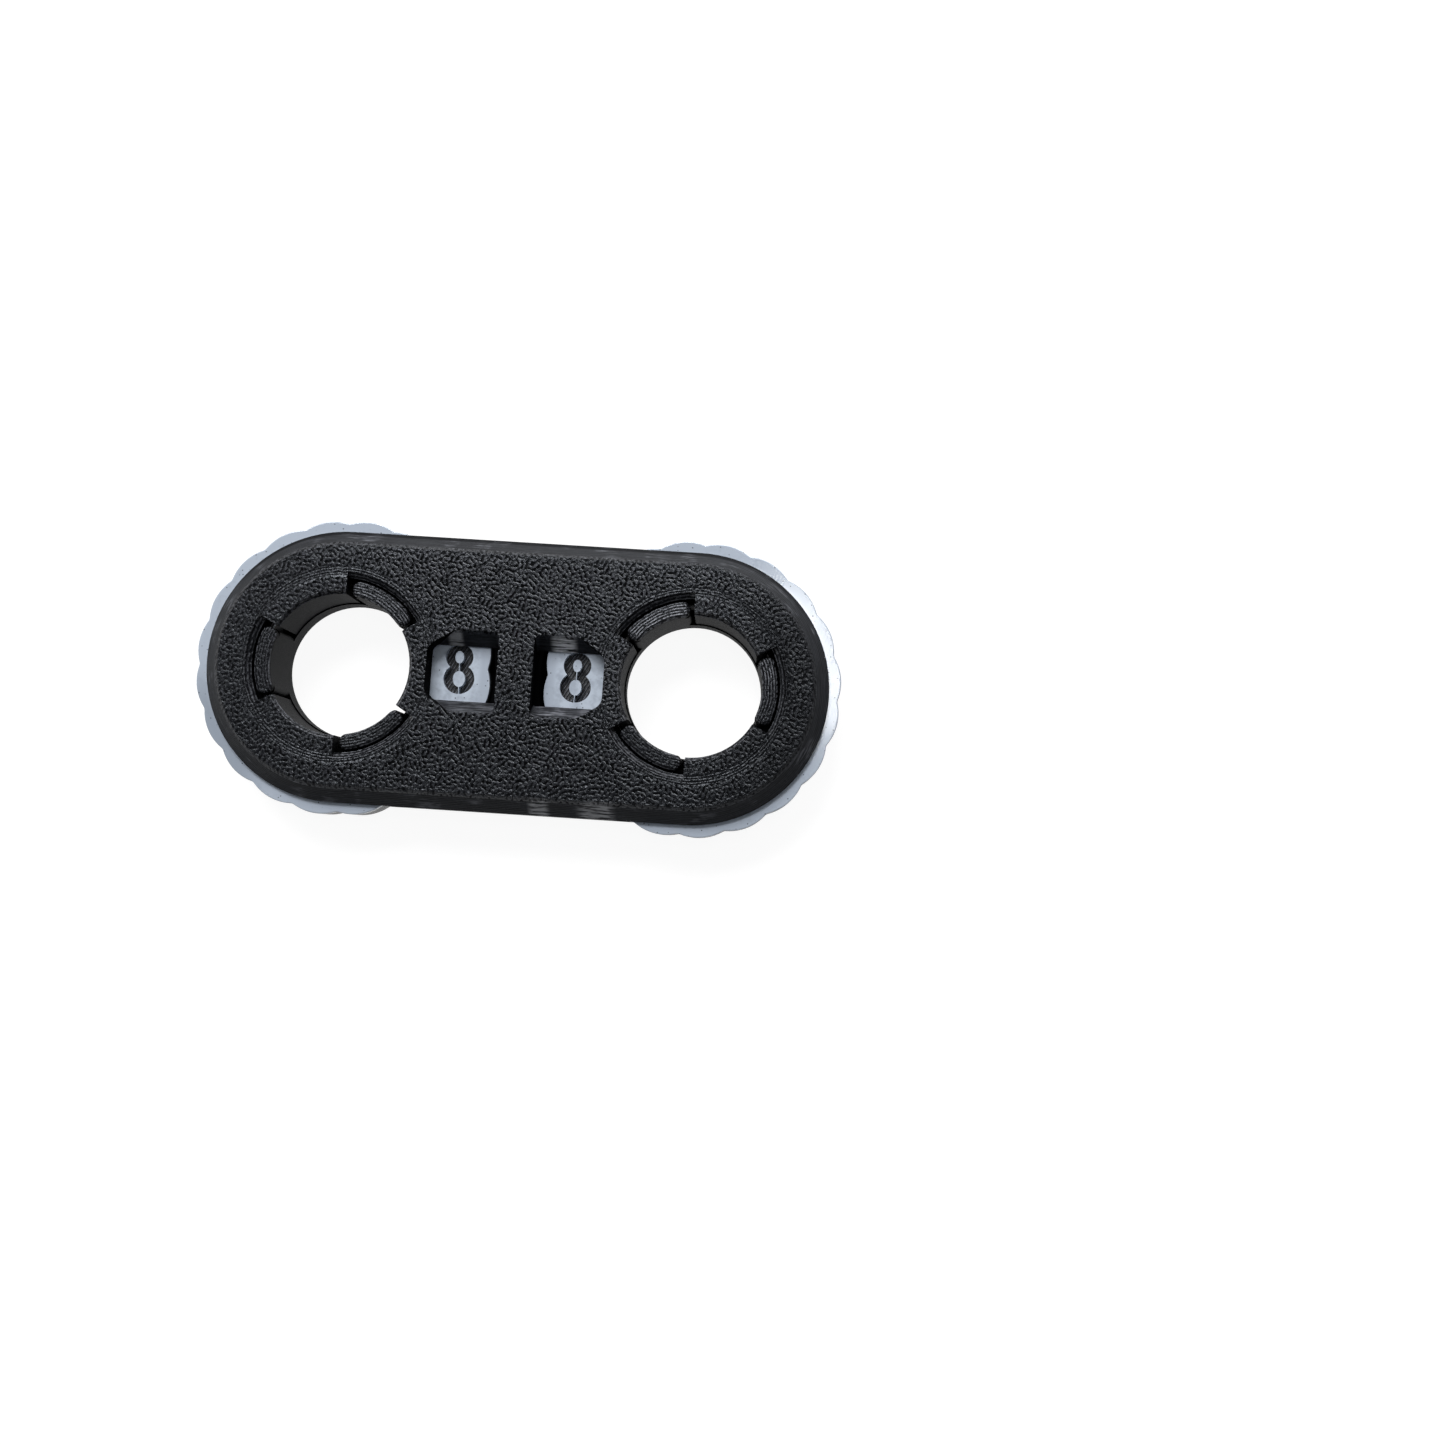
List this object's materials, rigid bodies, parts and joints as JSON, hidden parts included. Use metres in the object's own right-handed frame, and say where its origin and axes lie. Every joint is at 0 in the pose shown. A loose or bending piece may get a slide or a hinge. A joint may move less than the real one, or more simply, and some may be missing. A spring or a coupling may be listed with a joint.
{
  "type": "life counter",
  "caption": "Slim stadium-shaped life counter: scalloped number dials turn on open hubs between snapped shells and show their digits through windows.",
  "frame": {"origin": "middle of the base shell's flat underside, which is what the counter rests on", "axes": "+X from the tens dial to the units dial, +Y up the digits, +Z out of the windows"},
  "size_m": [0.0776, 0.0356, 0.009],
  "materials": {
    "shell_black": "printed plastic, textured top, fine layer lines on the edges",
    "dial_black": "printed plastic with diagonal fill lines",
    "dial_grey": "printed pale blue-grey plastic with dark specks"
  },
  "bodies": {
    "case": {"base_shell": "shell_black", "top_shell": "shell_black"},
    "tens_dial": {"tens_dial_core": "dial_black", "tens_dial_face": "dial_grey"},
    "units_dial": {"units_dial_core": "dial_black", "units_dial_face": "dial_grey"}
  },
  "joints": [
    {"name": "tens_dial_turn", "type": "hinge", "parent": "case", "child": "tens_dial", "pos_m": [-0.021, 0, 0.0045], "axis": [0, 0, 1], "continuous": true},
    {"name": "units_dial_turn", "type": "hinge", "parent": "case", "child": "units_dial", "pos_m": [0.021, 0, 0.0045], "axis": [0, 0, 1], "continuous": true}
  ]
}
